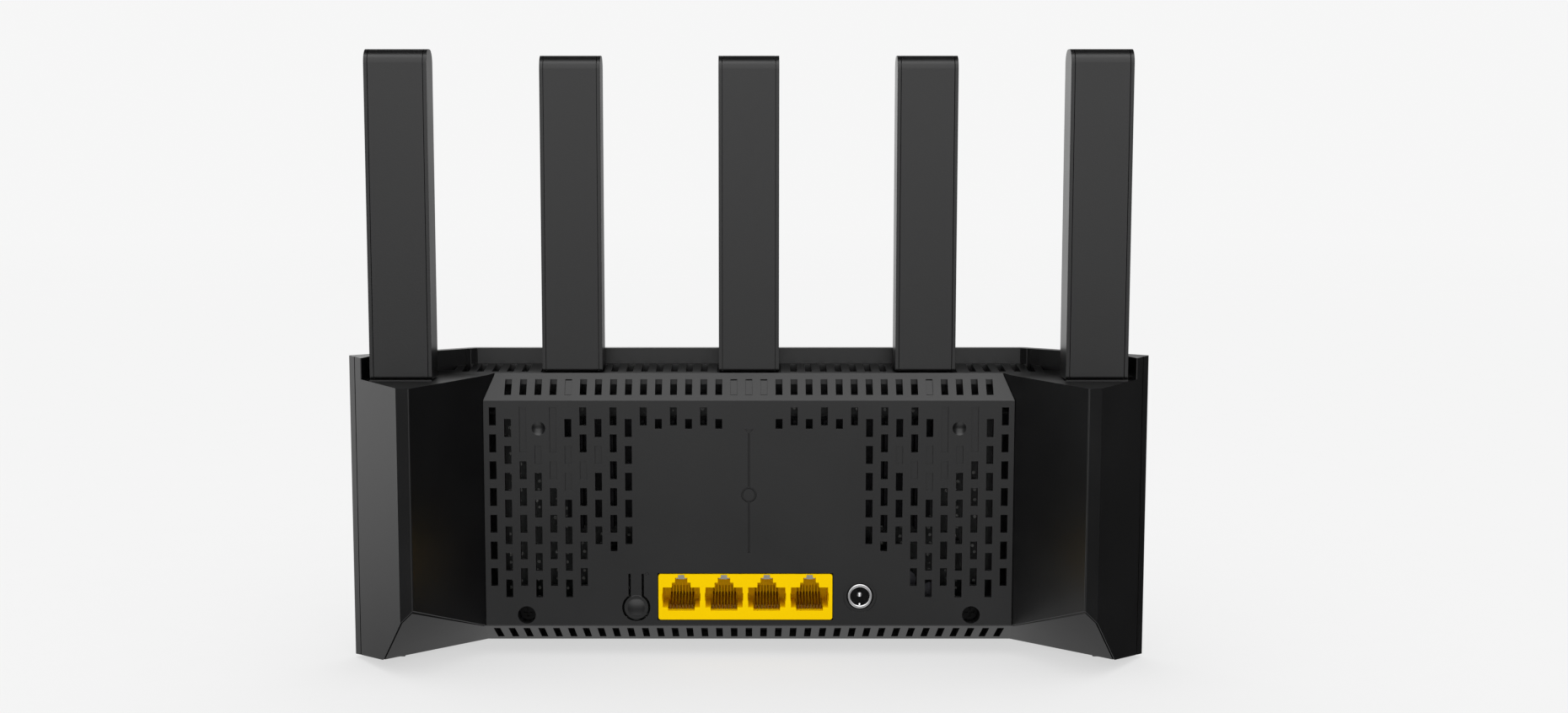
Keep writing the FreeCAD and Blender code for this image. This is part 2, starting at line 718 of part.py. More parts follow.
def housing_pieces():
    """The six covers that make up the housing, by node name."""
    body = housing_body()
    shell = body.cut(housing_cavity())
    under_rim = upright(inset(housing_outline(), RIM), -10, 60).common(below_housing(BOTTOM_RISE))
    walls = shell.cut(under_rim)
    front = front_region()
    panel = walls.common(front).cut(seam_groove())
    rest = walls.cut(front)
    grille_region = box(-GRILLE_HALF, -60, 80, GRILLE_HALF, CHAMFER_Y, 130)
    rear = make_rear_cover(rest, rear_region(SEAM))
    rest = rest.cut(rear_region(0.0))
    grille = rest.common(grille_region)
    rest = rest.cut(grille_region).cut(seam_groove())
    grille = grille.cut(Part.makeCompound(grille_slots())).cut(antenna_seats())
    rest = rest.multiFuse(foot_ribs())
    half = box(0, -100, -10, 200, 100, 130)
    return {
        "front_panel": make_front_panel(panel),
        "rear_cover": rear,
        "top_grille": grille,
        "right_wing_cover": rest.common(half),
        "left_wing_cover": rest.common(mirror(half)),
        "bottom_cover": make_bottom_cover(body),
        "rubber_feet": make_feet(),
    }


# ---- Antennas ------------------------------------------------------------------------
def pin_place(rear):
    return rear - PIN_FROM_REAR, ANT_LOW_Z + PIN_FROM_LOW


def runs_along_x(edge):
    return edge.BoundBox.XLength > 1 and edge.BoundBox.YLength < 0.01 > edge.BoundBox.ZLength


def antenna_top(rear):
    return ANT_HIGH_Z + (OUTER_TALLER if rear > 0 else 0.0)


def antenna_block(x, rear, inward=0.0):
    """An antenna's outside, or the same shape moved inward, with rounded top edges."""
    high = antenna_top(rear) - inward
    block = box(x - ANT_W / 2 + inward, rear - ANT_T + inward, ANT_LOW_Z,
                x + ANT_W / 2 - inward, rear - inward, high)
    top = [e for e in block.Edges if runs_along_x(e) and e.BoundBox.ZMin > high - 0.01]
    return block.makeFillet(ANT_TOP_R - inward, top)


def rounded_heel(block, rear):
    """The block with its rear edge rounded at the foot, so that it can fold back."""
    heel = [e for e in block.Edges if runs_along_x(e) and e.BoundBox.ZMax < ANT_LOW_Z + 0.01
            and e.BoundBox.YMin > rear - 0.01]
    return block.makeFillet(ANT_HEEL_R, heel)


def make_antenna(x, rear):
    """Shell, cover strip, radiator board and hinge pin of one antenna."""
    outside = rounded_heel(antenna_block(x, rear), rear)
    top = antenna_top(rear)
    skin = outside.cut(antenna_block(x, rear, ANT_COVER_T).fuse(
        box(x - ANT_W / 2 + ANT_COVER_T, rear - ANT_T + ANT_COVER_T, ANT_LOW_Z - 1,
            x + ANT_W / 2 - ANT_COVER_T, rear - ANT_COVER_T, ANT_LOW_Z + 1)))
    half, middle = ANT_COVER_W / 2, rear - ANT_T / 2
    mouth = skin.common(box(x - half, middle, 0, x + half, rear + 1, top + 1))
    inner = half - ANT_SEAM
    cover = skin.common(box(x - inner, middle + ANT_SEAM, 0, x + inner, rear + 1, top + 1))
    pocket_half = KNUCKLE_W / 2 + 0.5
    cover = cover.cut(box(x - pocket_half, rear - 2, 0, x + pocket_half,
                          rear - ANT_COVER_T + POCKET_DEPTH, ANT_LOW_Z + POCKET_H))
    hollow = box(x - ANT_W / 2 + ANT_WALL, rear - ANT_T + ANT_WALL, ANT_LOW_Z - 1,
                 x + ANT_W / 2 - ANT_WALL, rear - ANT_COVER_T, top - ANT_HOLLOW_TOP)
    pin_y, pin_z = pin_place(rear)
    pin = cyl(PIN_R, PIN_LENGTH, V(x - PIN_LENGTH / 2, pin_y, pin_z), V(1, 0, 0))
    board = box(x - BOARD_W / 2, middle - BOARD_T / 2, ANT_LOW_Z + BOARD_LOW,
                x + BOARD_W / 2, middle + BOARD_T / 2, top - BOARD_HIGH)
    rib_half = ANT_W / 2 - ANT_WALL / 2
    rib = box(x - rib_half, rear - ANT_T + ANT_WALL / 2, ANT_LOW_Z + RIB_LOW,
              x + rib_half, middle - BOARD_T / 2, ANT_LOW_Z + RIB_LOW + RIB_H)
    return {
        "shell": outside.cut(hollow).cut(mouth).cut(pin).fuse(rib).removeSplitter(),
        "cover": cover,
        "board": board,
        "pin": pin,
    }


def make_knuckle(x, rear):
    """Hinge arm that stands on the housing inside the antenna's foot."""
    pin_y, pin_z = pin_place(rear)
    x0, x1 = x - KNUCKLE_W / 2, x + KNUCKLE_W / 2
    post = box(x0, pin_y - POST_FAR, SHELF_Z, x1, pin_y - POST_NEAR, pin_z + KNUCKLE_R)
    arm = box(x0, pin_y - POST_NEAR - 1, pin_z - KNUCKLE_R, x1, pin_y, pin_z + KNUCKLE_R)
    eye = cyl(KNUCKLE_R, KNUCKLE_W, V(x0, pin_y, pin_z), V(1, 0, 0))
    hole = cyl(PIN_HOLE_R, KNUCKLE_W + 2, V(x0 - 1, pin_y, pin_z), V(1, 0, 0))
    return fuse([post, arm, eye]).cut(hole)


def tube_along(points, radius, bend):
    """A tube of straight runs joined by arcs of one radius."""
    edges = []
    start = points[0]
    for i in range(1, len(points) - 1):
        corner = points[i]
        back = (points[i - 1] - corner).normalize()
        ahead = (points[i + 1] - corner).normalize()
        half_angle = back.getAngle(ahead) / 2
        cut = bend / math.tan(half_angle)
        first, last = corner + back * cut, corner + ahead * cut
        middle_dir = (back + ahead).normalize()
        centre = corner + middle_dir * (bend / math.sin(half_angle))
        middle = centre - middle_dir * bend
        edges.append(Part.LineSegment(start, first).toShape())
        edges.append(Part.Arc(first, middle, last).toShape())
        start = last
    edges.append(Part.LineSegment(start, points[-1]).toShape())
    path = Part.Wire(edges)
    direction = (points[1] - points[0]).normalize()
    ring = Part.Wire(Part.makeCircle(radius, points[0], direction))
    return path.makePipeShell([ring], True, False)


def connector_x(x):
    """Where an antenna's cable plugs into the board."""
    return max(-CONNECTOR_REACH, min(CONNECTOR_REACH, x))


def make_cable(x, rear):
    """Coaxial lead from the board to the underside of the shelf below one antenna."""
    start = V(connector_x(x), PCB_REAR_Y + CONNECTOR_T, CONNECTOR_Z)
    out = start + V(0, 5.6, 0)
    under_shelf = SHELF_Z - WALL
    if rear < 0:
        return tube_along([start, out, V(x, out.y, under_shelf)], CABLE_R, CABLE_BEND)
    side = 1 if x > 0 else -1
    turn = V(98 * side, out.y + 2, start.z - 2)
    end = V(x, pin_place(rear)[0] - POST_FAR + 1, under_shelf - CABLE_R)
    return tube_along([start, out, turn, end], CABLE_R, CABLE_BEND)


# ---- Board and what is on it ---------------------------------------------------------
def on_board(x0, z0, x1, z1, thick):
    """A block on the board's rear side."""
    return box(x0, PCB_REAR_Y, z0, x1, PCB_REAR_Y + thick, z1)


def make_board():
    board = box(-PCB_HALF, PCB_REAR_Y - PCB_T, PCB_LOW_Z, PCB_HALF, PCB_REAR_Y, PCB_HIGH_Z)
    holes = [cyl(PILOT_R + 0.3, 4, V(side * x, PCB_REAR_Y - 3, z), V(0, 1, 0))
             for x, z in STANDOFFS for side in (-1, 1)]
    return board.cut(Part.makeCompound(holes))


def make_heat_sink():
    """Aluminium plate with upright fins."""
    low, high = SINK_Z
    base_y = PCB_REAR_Y + CHIP_T + THERMAL_PAD_T
    last = int(SINK_HALF - FIN_PITCH / 2)
    fins = [box(x - FIN_T / 2, base_y, low, x + FIN_T / 2, base_y + FIN_H, high)
            for x in range(-last, last + 1, FIN_PITCH)]
    plate = box(-SINK_HALF, base_y, low, SINK_HALF, base_y + SINK_PLATE_T, high)
    return fuse([plate] + fins)


def make_screw(x, head_y, z, shank_r, length):
    """Pan-head screw that points to the front, with a cross recess."""
    along = V(0, 1, 0)
    head = cyl(SCREW_HEAD_R, SCREW_HEAD_H, V(x, head_y - SCREW_HEAD_H, z), along)
    shank = cyl(shank_r, length, V(x, head_y - SCREW_HEAD_H - length, z), along)
    reach, half, low = SCREW_HEAD_R * 0.62, SCREW_CROSS_W / 2, head_y - SCREW_CROSS_DEPTH
    cross = fuse([box(x - reach, low, z - half, x + reach, head_y + 1, z + half),
                  box(x - half, low, z - reach, x + half, head_y + 1, z + reach)])
    return head.fuse(shank).cut(cross)


def port_centres():
    return [PORT_MID_X + PORT_PITCH * (i - 1.5) for i in range(4)]


def contact_places(x):
    """Centre of each of the eight contacts in the port at x."""
    return [x + CONTACT_PITCH * (i - 3.5) for i in range(8)]


def make_port_housing():
    """Yellow block with four stepped sockets, each with a comb behind its contacts."""
    half = PORT_BLOCK_W / 2
    block = box(PORT_MID_X - half, PCB_REAR_Y, PORT_LOW_Z, PORT_MID_X + half, PORT_FRONT_Y,
                PORT_HIGH_Z)
    long_edges = [e for e in block.Edges
                  if e.BoundBox.YLength > 10 and e.BoundBox.XLength < 0.01]
    block = block.makeFillet(PORT_EDGE_R, long_edges)
    cuts = []
    for x in port_centres():
        for half_w, low, high in PORT_STEPS:
            cuts.append(box(x - half_w, PORT_BACK_Y, low, x + half_w, PORT_FRONT_Y + 1, high))
        well_half = PORT_STEPS[2][0]
        cuts.append(box(x - well_half, PORT_BACK_Y, WELL_LOW_Z, x + well_half,
                        PORT_FRONT_Y - WELL_FRONT, PORT_FLOOR_Z))
        for middle in contact_places(x):
            cuts.append(box(middle - CONTACT_W / 2 - 0.05, PORT_BACK_Y - COMB_DEPTH, WELL_LOW_Z,
                            middle + CONTACT_W / 2 + 0.05, PORT_BACK_Y + 0.1, COMB_HIGH_Z))
    return block.cut(Part.makeCompound(cuts))


def make_contacts():
    """Eight sprung wires in each port, which rise from its front to the comb."""
    start, end = PORT_FRONT_Y - WELL_FRONT + 0.8, PORT_BACK_Y - COMB_DEPTH + 0.5
    low, high = PORT_STEPS[2][1], PORT_FLOOR_Z + CONTACT_RISE - CONTACT_T
    profile = [
        (start, low), (start + CONTACT_T, low), (start + CONTACT_T, PORT_FLOOR_Z + CONTACT_T),
        (end, high + CONTACT_T), (end, high), (start, PORT_FLOOR_Z)]
    half = CONTACT_W / 2
    return Part.makeCompound([sideways(profile, middle - half, middle + half)
                              for x in port_centres() for middle in contact_places(x)])


def make_latch_plates():
    """Metal clip in the top of each port's latch notch, bent up over the front face."""
    clips = []
    for x in port_centres():
        plate = box(x - LATCH_HALF, PORT_BACK_Y + 2, LATCH_Z, x + LATCH_HALF,
                    PORT_FRONT_Y - 0.4, LATCH_Z + LATCH_T)
        neck = box(x - TAB_HALF, PORT_FRONT_Y - 0.5, LATCH_Z, x + TAB_HALF, PORT_FRONT_Y + TAB_T,
                   LATCH_Z + LATCH_T)
        tab = box(x - TAB_HALF, PORT_FRONT_Y, LATCH_Z, x + TAB_HALF, PORT_FRONT_Y + TAB_T,
                  TAB_TOP_Z)
        clips.append(fuse([plate, neck, tab]))
    return Part.makeCompound(clips)


def make_jack():
    """Power socket: plastic body, metal sleeve with its contact spring, and centre pin."""
    front, along = REAR_Y - 0.35, V(0, 1, 0)
    back = REAR_Y - JACK_LENGTH
    body = box(JACK_X - JACK_BODY_HALF, PCB_REAR_Y, JACK_Z - JACK_BODY_HALF,
               JACK_X + JACK_BODY_HALF, REAR_Y - 2.8, JACK_Z + JACK_BODY_HALF)
    body = body.cut(cyl(JACK_RING_R, JACK_LENGTH, V(JACK_X, back, JACK_Z), along))
    sleeve = cyl(JACK_RING_R, front - back, V(JACK_X, back, JACK_Z), along).cut(
        cyl(JACK_BORE_R, JACK_LENGTH + 2, V(JACK_X, back - 1, JACK_Z), along))
    rim = [e for e in sleeve.Edges if e.BoundBox.YMin > front - 0.01]
    spring = Part.makeSphere(JACK_SPRING_R, V(JACK_X, front - 2.2, JACK_Z - JACK_BORE_R))
    pin = cyl(JACK_PIN_R, JACK_LENGTH - 3.5, V(JACK_X, back, JACK_Z), along).fuse(
        Part.makeSphere(JACK_PIN_R, V(JACK_X, REAR_Y - 3.5, JACK_Z)))
    return body, sleeve.makeFillet(0.3, rim).fuse(spring), pin


def make_button():
    """Lever with a domed pad, a round hinge end and a stem that reaches the switch."""
    outer = REAR_Y - BUTTON_SUNK
    inner = outer - BUTTON_PAD_T
    half, along = BUTTON_BAR_W / 2, V(0, 1, 0)
    bar = box(BUTTON_X - half, inner, BUTTON_Z, BUTTON_X + half, inner + BUTTON_BAR_T,
              BUTTON_HINGE_Z)
    end = cyl(BUTTON_BAR_T / 2, 2 * half, V(BUTTON_X - half, BUTTON_HINGE_Y, BUTTON_HINGE_Z),
              V(1, 0, 0))
    pad = cyl(BUTTON_PAD_R, BUTTON_PAD_T, V(BUTTON_X, inner, BUTTON_Z), along)
    ball_r = (BUTTON_DOME_R ** 2 + BUTTON_DOME_H ** 2) / (2 * BUTTON_DOME_H)
    ball = Part.makeSphere(ball_r, V(BUTTON_X, outer + BUTTON_DOME_H - ball_r, BUTTON_Z))
    dome = ball.common(cyl(BUTTON_DOME_R, 3, V(BUTTON_X, inner + 0.5, BUTTON_Z), along))
    stem_low = SWITCH_TOP_Y + SEAM
    stem = cyl(BUTTON_STEM_R, inner - stem_low + 0.2, V(BUTTON_X, stem_low, BUTTON_Z), along)
    return fuse([bar, end, pad, dome, stem])


def make_switch():
    """Tactile switch: square body and round plunger."""
    body = on_board(BUTTON_X - SWITCH_HALF, BUTTON_Z - SWITCH_HALF,
                    BUTTON_X + SWITCH_HALF, BUTTON_Z + SWITCH_HALF, SWITCH_BODY_T)
    seat_y = PCB_REAR_Y + 1.2
    body = body.cut(cyl(SWITCH_CAP_R + 0.06, 6, V(BUTTON_X, seat_y, BUTTON_Z), V(0, 1, 0)))
    low = seat_y + 0.8
    plunger = cyl(SWITCH_CAP_R, SWITCH_TOP_Y - low, V(BUTTON_X, low, BUTTON_Z), V(0, 1, 0))
    return body, plunger


def make_cans():
    """Thin metal boxes over the radio circuits, on the board's front side."""
    y = PCB_REAR_Y - PCB_T
    low, high = CAN_Z
    cans = []
    for x in CAN_X:
        can = box(x - CAN_HALF, y - CAN_H, low, x + CAN_HALF, y, high)
        inner = CAN_HALF - CAN_SHEET
        cans.append(can.cut(box(x - inner, y - CAN_H + CAN_SHEET, low + CAN_SHEET,
                                x + inner, y + 1, high - CAN_SHEET)))
    return Part.makeCompound(cans)


def make_light():
    """Status light on the board and the clear pipe that carries it to the front."""
    y = PCB_REAR_Y - PCB_T
    led = box(-1.6, y - 0.9, LIGHT_Z - 0.7, 1.6, y, LIGHT_Z + 0.7)
    pipe = light_window().common(box(-20, FRONT_Y, 0, 20, FRONT_Y + WALL, 60))
    collar = box(-6.2, FRONT_Y + WALL, LIGHT_Z - 2.2, 6.2, y - 1.0, LIGHT_Z + 2.2)
    return led, pipe.fuse(collar)


def board_pieces():
    """Everything on the board, by node name."""
    chip = on_board(-CHIP_HALF, CHIP_Z[0], CHIP_HALF, CHIP_Z[1], CHIP_T)
    pad_y = PCB_REAR_Y + CHIP_T
    pad = box(-CHIP_HALF, pad_y, CHIP_Z[0], CHIP_HALF, pad_y + THERMAL_PAD_T, CHIP_Z[1])
    jack_body, jack_sleeve, jack_pin = make_jack()
    switch_body, switch_plunger = make_switch()
    led, pipe = make_light()
    capacitors = [cyl(CAPACITOR_R, CAPACITOR_H, V(x, PCB_REAR_Y, z), V(0, 1, 0))
                  for x, z in CAPACITORS]
    transformers = [on_board(x - TRANSFORMER_HALF, TRANSFORMER_Z[0], x + TRANSFORMER_HALF,
                             TRANSFORMER_Z[1], TRANSFORMER_T)
                    for x in port_centres()[::3] + [PORT_MID_X]]
    connectors = []
    for name, x, rear in ANTENNAS:
        at = connector_x(x)
        connectors.append(on_board(at - CONNECTOR_HALF, CONNECTOR_Z - CONNECTOR_HALF,
                                   at + CONNECTOR_HALF, CONNECTOR_Z + CONNECTOR_HALF,
                                   CONNECTOR_T))
    board_screws = [both(make_screw(x, PCB_REAR_Y + SCREW_HEAD_H, z, PILOT_R - 0.05, 4.6))
                    for x, z in STANDOFFS]
    return {
        "main_pcb": make_board(),
        "cpu_chip": chip,
        "thermal_pad": pad,
        "heat_sink": make_heat_sink(),
        "rf_shield_cans": make_cans(),
        "ethernet_transformers": Part.makeCompound(transformers),
        "capacitors": Part.makeCompound(capacitors),
        "power_inductor": on_board(*INDUCTOR, INDUCTOR_T),
        "coax_connectors": Part.makeCompound(connectors),
        "status_led": led,
        "light_pipe": pipe,
        "rj45_housing": make_port_housing(),
        "rj45_contacts": make_contacts(),
        "rj45_latch_plates": make_latch_plates(),
        "dc_jack_body": jack_body,
        "dc_jack_sleeve": jack_sleeve,
        "dc_jack_pin": jack_pin,
        "switch_body": switch_body,
        "switch_plunger": switch_plunger,
        "reset_button": make_button(),
        "housing_screws": both(make_screw(SCREW_X, WELL_FLOOR_Y + SCREW_HEAD_H, SCREW_Z,
                                          PILOT_R, 6.0)),
        "board_screws": Part.makeCompound(board_screws),
    }


def antenna_pieces():
    """The antennas, their hinge arms and their leads, by node name."""
    nodes = {}
    for name, x, rear in ANTENNAS:
        for part_name, shape in make_antenna(x, rear).items():
            nodes[name + "_" + part_name] = shape
        nodes[name + "_cable"] = make_cable(x, rear)
    nodes["antenna_hinge_arms"] = Part.makeCompound(
        [make_knuckle(x, rear) for name, x, rear in ANTENNAS])
    return nodes


def main():
    os.makedirs("parts", exist_ok=True)
    for nodes in (housing_pieces(), board_pieces(), antenna_pieces()):
        for name, shape in nodes.items():
            save(name, shape)


main()
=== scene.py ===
"""Looks of the upright wireless router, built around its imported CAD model.

Everything is in metres, in the CAD model's frame: the front faces -Y, the sockets
face +Y, +Z is up and the router stands on the floor at z = 0.
"""
import json
import math

import bpy
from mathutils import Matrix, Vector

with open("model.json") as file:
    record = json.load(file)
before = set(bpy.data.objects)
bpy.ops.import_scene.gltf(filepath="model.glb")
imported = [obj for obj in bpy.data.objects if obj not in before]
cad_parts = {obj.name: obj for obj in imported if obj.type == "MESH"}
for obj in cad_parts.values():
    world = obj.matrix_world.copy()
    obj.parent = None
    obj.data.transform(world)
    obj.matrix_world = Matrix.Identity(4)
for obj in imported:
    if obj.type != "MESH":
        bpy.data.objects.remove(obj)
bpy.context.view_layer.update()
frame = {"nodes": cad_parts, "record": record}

MM = 0.001
NODES = frame["nodes"]

# ---- Camera and studio: driving values ------------------------------------------------
LENS = 43.55
SENSOR = 36.0
SHIFT = 0.0224
CAMERA_PLACE = (0.0, 603.46 * MM, 165.17 * MM)
CAMERA_TILT = 6.24
FLOOR_TONE = 0.28          # the floor's own colour, and its glow, which softens shadows
FLOOR_GLOW = 0.60
FLOOR_R = 4.0
FLOOR_SOLID_R = 0.6
FLOOR_SIDES = 96
SKY_SEEN = 0.925           # backdrop, as the camera sees it
SKY_LIGHT = 1.08           # even light on the floor and on the router
# What the router's faces mirror, as pairs of the direction's height (its sine) and
# brightness. NEAR is the rear half of the studio, +Y, and FAR the front half. The DIM pairs
# fade them by the direction's X: NEAR towards both sides, FAR towards -X. LOW is what faces
# that look down mirror, and SIDE a tall lamp at +X, given by X and not by height.
NEAR_GLOW = [(-0.8, 0.9), (-0.3, 0.2), (-0.24, 0.32), (-0.12, 0.75), (-0.04, 1.15),
             (0.06, 1.75), (0.3, 1.7), (0.75, 1.8), (0.86, 3.3), (0.92, 3.0), (0.96, 0.05)]
NEAR_DIM = [(0.3, 1.0), (0.75, 0.1)]
FAR_GLOW = [(-0.3, 0.15), (-0.12, 0.8), (0.1, 1.2), (0.4, 0.7), (0.8, 0.03)]
FAR_DIM = [(-0.5, 0.05), (-0.1, 0.6), (0.1, 1.0)]
LOW_GLOW = [(-0.7, 0.4), (-0.5, 0.34), (-0.3, 0.0)]
SIDE_GLOW = [(0.92, 0.0), (0.985, 2.2)]
GLOW_TOP = 3.5             # at least as high as every brightness above
NEAR_FAR_BLEND = 0.2       # half the width, in Y, over which NEAR passes into FAR
TOP_LIGHT_PLACE = (0.1, 0.5, 1.3)
TOP_LIGHT_TARGET = (0.0, 0.0, 0.05)
TOP_LIGHT_SIZE = (1.4, 1.0)
TOP_LIGHT_POWER = 1.5

# ---- Edge rounding: driving values ----------------------------------------------------
SAME_POINT = 0.001 * MM    # corners nearer than this are one corner
FLAT_ANGLE = 0.5           # faces that meet at less than this, in degrees, are one face
SHARP_ANGLE = 28.0         # edges sharper than this, in degrees, are rounded
ANTENNA_ROUND = 0.35 * MM
SHELL_ROUND = 0.13 * MM
VENT_ROUND = 0.12 * MM
SOCKET_ROUND = 0.1 * MM


# ---- Node helpers ---------------------------------------------------------------------
class Nodes:
    """A node tree, with short ways to add and join nodes."""

    def __init__(self, tree):
        self.tree = tree

    def node(self, kind, **values):
        made = self.tree.nodes.new("ShaderNode" + kind)
        for name, value in values.items():
            if name in made.inputs:
                made.inputs[name].default_value = value
            else:
                setattr(made, name, value)
        return made

    def join(self, output, target):
        self.tree.links.new(output, target)

    def math(self, operation, *inputs):
        """One sum on sockets or plain numbers."""
        made = self.node("Math", operation=operation)
        for target, value in zip(made.inputs, inputs):
            if isinstance(value, (int, float)):
                target.default_value = value
            else:
                self.join(value, target)
        return made.outputs["Value"]

    def noise(self, place, scale, detail=2.0):
        made = self.node("TexNoise", Scale=scale, Detail=detail)
        self.join(place, made.inputs["Vector"])
        return made.outputs["Fac"]

    def spread(self, value, low, high, low_in=0.3, high_in=0.7):
        """The value's range low_in-high_in stretched to low-high."""
        made = self.node("MapRange")
        made.inputs["From Min"].default_value = low_in
        made.inputs["From Max"].default_value = high_in
        made.inputs["To Min"].default_value = low
        made.inputs["To Max"].default_value = high
        self.join(value, made.inputs["Value"])
        return made.outputs["Result"]

    def curve(self, value, points, top):
        """A smooth curve through points whose first number lies between -1 and 1."""
        made = self.node("ValToRGB")
        made.color_ramp.interpolation = "EASE"
        stops = made.color_ramp.elements
        while len(stops) < len(points):
            stops.new(0.5)
        for stop, (at, level) in zip(stops, points):
            stop.position = (at + 1) / 2
            stop.color = (level / top, level / top, level / top, 1.0)
        self.join(self.spread(value, 0.0, 1.0, -1.0, 1.0), made.inputs["Fac"])
        return self.math("MULTIPLY", made.outputs["Color"], top)


class Shader(Nodes):
    """A material's node tree."""

    def __init__(self, name, color, roughness, **sockets):
        self.material = bpy.data.materials.new(name)
        self.material.use_nodes = True
        super().__init__(self.material.node_tree)
        self.surface = self.tree.nodes["Principled BSDF"]
        self.set("Base Color", (*color, 1.0))
        self.set("Roughness", roughness)
        for socket, value in sockets.items():
            self.set(socket.replace("_", " "), value)

    def set(self, socket, value):
        self.surface.inputs[socket].default_value = value

    def place(self):
        """Coordinates fixed to the object, in metres."""
        return self.node("TexCoord").outputs["Object"]

    def mix_color(self, factor, first, second):
        made = self.node("Mix", data_type="RGBA")
        self.join(factor, made.inputs["Factor"])
        for socket, value in (("A", first), ("B", second)):
            target = [s for s in made.inputs if s.name == socket and s.type == "RGBA"][0]
            if isinstance(value, tuple):
                target.default_value = (*value, 1.0)
            else:
                self.join(value, target)
        return [s for s in made.outputs if s.type == "RGBA"][0]

    def bump(self, height, strength, distance):
        made = self.node("Bump", Strength=strength, Distance=distance)
        self.join(height, made.inputs["Height"])
        self.join(made.outputs["Normal"], self.surface.inputs["Normal"])
        return made


def moulded_plastic(name, color, worn, roughness, grain=2600.0, **sockets):
    """Injection-moulded plastic: fine spark-eroded grain and uneven sheen."""
    s = Shader(name, color, roughness[0], **sockets)
    place = s.place()
    cloud = s.noise(place, 35.0, 4.0)
    fine = s.noise(place, grain)
    s.join(s.mix_color(s.spread(cloud, 0.0, 1.0), color, worn), s.surface.inputs["Base Color"])
    s.join(s.spread(cloud, *roughness), s.surface.inputs["Roughness"])
    s.bump(fine, 0.35, 0.04 * MM)
    return s.material


def black_plastic():
    return moulded_plastic("satin_black_plastic", (0.0036, 0.0036, 0.0038),
                           (0.005, 0.005, 0.0053), (0.29, 0.34))


def antenna_plastic():
    return moulded_plastic("antenna_plastic", (0.0042, 0.0042, 0.0044),
                           (0.006, 0.006, 0.0063), (0.29, 0.34))


def yellow_plastic():
    return moulded_plastic("yellow_socket_plastic", (0.95, 0.61, 0.0),
                           (0.98, 0.64, 0.0), (0.34, 0.42), 1500.0, Specular_IOR_Level=0.03)


def dark_part_plastic():
    return moulded_plastic("component_plastic", (0.004, 0.004, 0.0042),
                           (0.007, 0.007, 0.0072), (0.55, 0.65), 1200.0)


def rubber():
    return moulded_plastic("foot_rubber", (0.016, 0.016, 0.016),
                           (0.024, 0.023, 0.022), (0.75, 0.85), 900.0)


def brushed_metal(name, color, roughness, stretch=(1.0, 60.0, 1.0), scale=900.0):
    """Plated or drawn metal with fine marks along one direction."""
    s = Shader(name, color, roughness[0], Metallic=1.0)
    turn = s.node("Mapping")
    turn.inputs["Scale"].default_value = stretch
    s.join(s.place(), turn.inputs["Vector"])
    marks = s.noise(turn.outputs["Vector"], scale, 3.0)
    darker = tuple(0.8 * c for c in color)
    s.join(s.mix_color(s.spread(marks, 0.0, 1.0), color, darker), s.surface.inputs["Base Color"])
    s.join(s.spread(marks, *roughness), s.surface.inputs["Roughness"])
    s.bump(marks, 0.12, 0.02 * MM)
    return s.material


def circuit_board():
    """Black solder mask over copper tracks, with small tinned pads."""
    mask, track, pad = (0.003, 0.0045, 0.004), (0.008, 0.011, 0.009), (0.3, 0.3, 0.29)
    s = Shader("circuit_board", mask, 0.3)
    place = s.place()
    tracks = s.node("TexVoronoi", feature="DISTANCE_TO_EDGE", distance="MANHATTAN", Scale=260.0)
    s.join(place, tracks.inputs["Vector"])
    lines = s.spread(tracks.outputs["Distance"], 0.0, 1.0, 0.05, 0.09)
    dots = s.node("TexVoronoi", Scale=330.0, Randomness=0.35)
    s.join(place, dots.inputs["Vector"])
    pads = s.spread(dots.outputs["Distance"], 1.0, 0.0, 0.16, 0.2)
    body = s.mix_color(lines, track, mask)
    s.join(s.mix_color(pads, body, pad), s.surface.inputs["Base Color"])
    s.bump(lines, 0.3, 0.03 * MM)
    return s.material


def clear_plastic():
    s = Shader("clear_light_pipe", (0.86, 0.88, 0.9), 0.35, Transmission_Weight=0.6, IOR=1.49)
    s.join(s.spread(s.noise(s.place(), 400.0), 0.25, 0.45), s.surface.inputs["Roughness"])
    return s.material


def soft_pad():
    return moulded_plastic("thermal_pad", (0.25, 0.33, 0.45), (0.3, 0.38, 0.5), (0.7, 0.8))


def make_materials():
    """One material for each of the record's slots, and one for the antennas."""
    return {
        "black_plastic": black_plastic(),
        "antenna": antenna_plastic(),
        "yellow_plastic": yellow_plastic(),
        "component_black": dark_part_plastic(),
        "switch_cap": moulded_plastic("switch_cap", (0.2, 0.2, 0.21), (0.25, 0.25, 0.26),
                                      (0.4, 0.5)),
        "circuit_board": circuit_board(),
        "thermal_pad": soft_pad(),
        "aluminium": brushed_metal("black_anodised", (0.02, 0.02, 0.021), (0.35, 0.5)),
        "tinned_steel": brushed_metal("tinned_steel", (0.42, 0.41, 0.38), (0.35, 0.5)),
        "capacitor_can": brushed_metal("capacitor_can", (0.09, 0.09, 0.1), (0.4, 0.55)),
        "brass": brushed_metal("gold_plating", (0.22, 0.12, 0.03), (0.3, 0.4)),
        "led": clear_plastic(),
        "clear_light_pipe": clear_plastic(),
        "chrome": brushed_metal("chrome", (0.9, 0.9, 0.91), (0.08, 0.16)),
        "screw_steel": brushed_metal("screw_steel", (0.012, 0.012, 0.012), (0.3, 0.45)),
        "cable_jacket": rubber(),
        "rubber": rubber(),
    }


